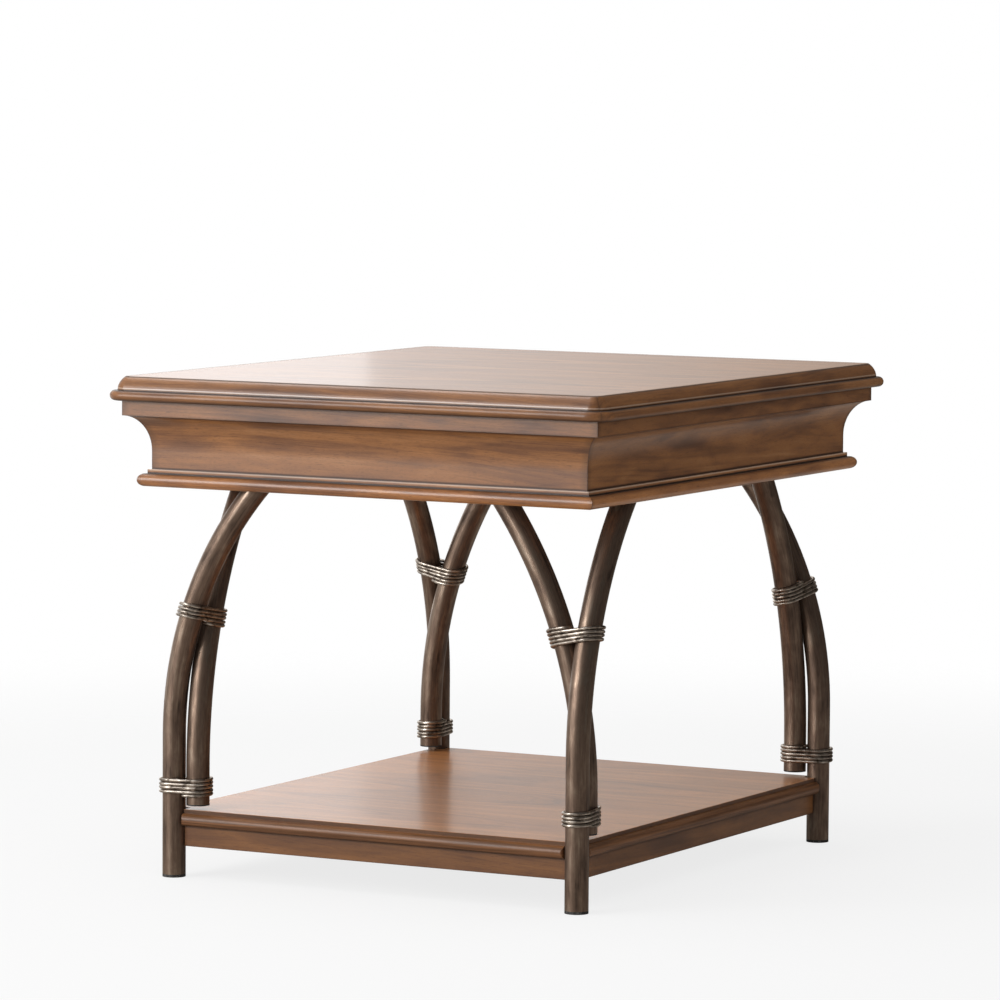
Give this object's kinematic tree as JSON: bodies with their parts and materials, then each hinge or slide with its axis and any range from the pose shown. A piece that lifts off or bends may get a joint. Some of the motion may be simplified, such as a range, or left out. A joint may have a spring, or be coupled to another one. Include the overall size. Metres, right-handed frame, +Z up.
{
  "type": "side table",
  "caption": "Rectangular wooden side table with a moulded top on a coved apron, a low shelf, and bent steel tube legs, each bound to a brace by wire lashings.",
  "frame": {"origin": "on the floor, under the middle of the top", "axes": "+X to the right along the front, +Y from the front to the back, +Z up"},
  "size_m": [0.61, 0.711, 0.546],
  "materials": {
    "cherry_veneer": "satin lacquer over cherry veneer",
    "cherry_moulding": "satin lacquer over glazed solid cherry",
    "frame_wood": "sawn, unfinished",
    "bronzed_steel": "rubbed dark bronze coat",
    "pewter_wire": "dulled pewter",
    "screw_steel": "zinc plated",
    "glide_plastic": "moulded, dark"
  },
  "bodies": {
    "root": {"top_panel": "cherry_veneer", "shelf_panel": "cherry_veneer", "top_edge_front": "cherry_moulding", "apron_front": "cherry_moulding", "base_rail_front": "cherry_moulding", "shelf_rail_front": "cherry_moulding", "top_cleat_front": "frame_wood", "top_edge_right": "cherry_moulding", "apron_right": "cherry_moulding", "base_rail_right": "cherry_moulding", "shelf_rail_right": "cherry_moulding", "top_cleat_right": "frame_wood", "top_edge_back": "cherry_moulding", "apron_back": "cherry_moulding", "base_rail_back": "cherry_moulding", "shelf_rail_back": "cherry_moulding", "top_cleat_back": "frame_wood", "top_edge_left": "cherry_moulding", "apron_left": "cherry_moulding", "base_rail_left": "cherry_moulding", "shelf_rail_left": "cherry_moulding", "top_cleat_left": "frame_wood", "front_left_corner_block": "frame_wood", "front_left_leg": "bronzed_steel", "front_left_brace": "bronzed_steel", "front_left_leg_plate": "bronzed_steel", "front_left_brace_plate": "bronzed_steel", "front_left_shelf_bracket": "bronzed_steel", "front_left_lower_lashing": "pewter_wire", "front_left_upper_lashing": "pewter_wire", "front_right_corner_block": "frame_wood", "front_right_leg": "bronzed_steel", "front_right_brace": "bronzed_steel", "front_right_leg_plate": "bronzed_steel", "front_right_brace_plate": "bronzed_steel", "front_right_shelf_bracket": "bronzed_steel", "front_right_lower_lashing": "pewter_wire", "front_right_upper_lashing": "pewter_wire", "back_right_corner_block": "frame_wood", "back_right_leg": "bronzed_steel", "back_right_brace": "bronzed_steel", "back_right_leg_plate": "bronzed_steel", "back_right_brace_plate": "bronzed_steel", "back_right_shelf_bracket": "bronzed_steel", "back_right_lower_lashing": "pewter_wire", "back_right_upper_lashing": "pewter_wire", "back_left_corner_block": "frame_wood", "back_left_leg": "bronzed_steel", "back_left_brace": "bronzed_steel", "back_left_leg_plate": "bronzed_steel", "back_left_brace_plate": "bronzed_steel", "back_left_shelf_bracket": "bronzed_steel", "back_left_lower_lashing": "pewter_wire", "back_left_upper_lashing": "pewter_wire", "top_screws": "screw_steel", "base_screws": "screw_steel", "plate_screws": "screw_steel", "bracket_screws": "screw_steel", "foot_glides": "glide_plastic", "brace_end_plugs": "glide_plastic"}
  },
  "joints": []
}
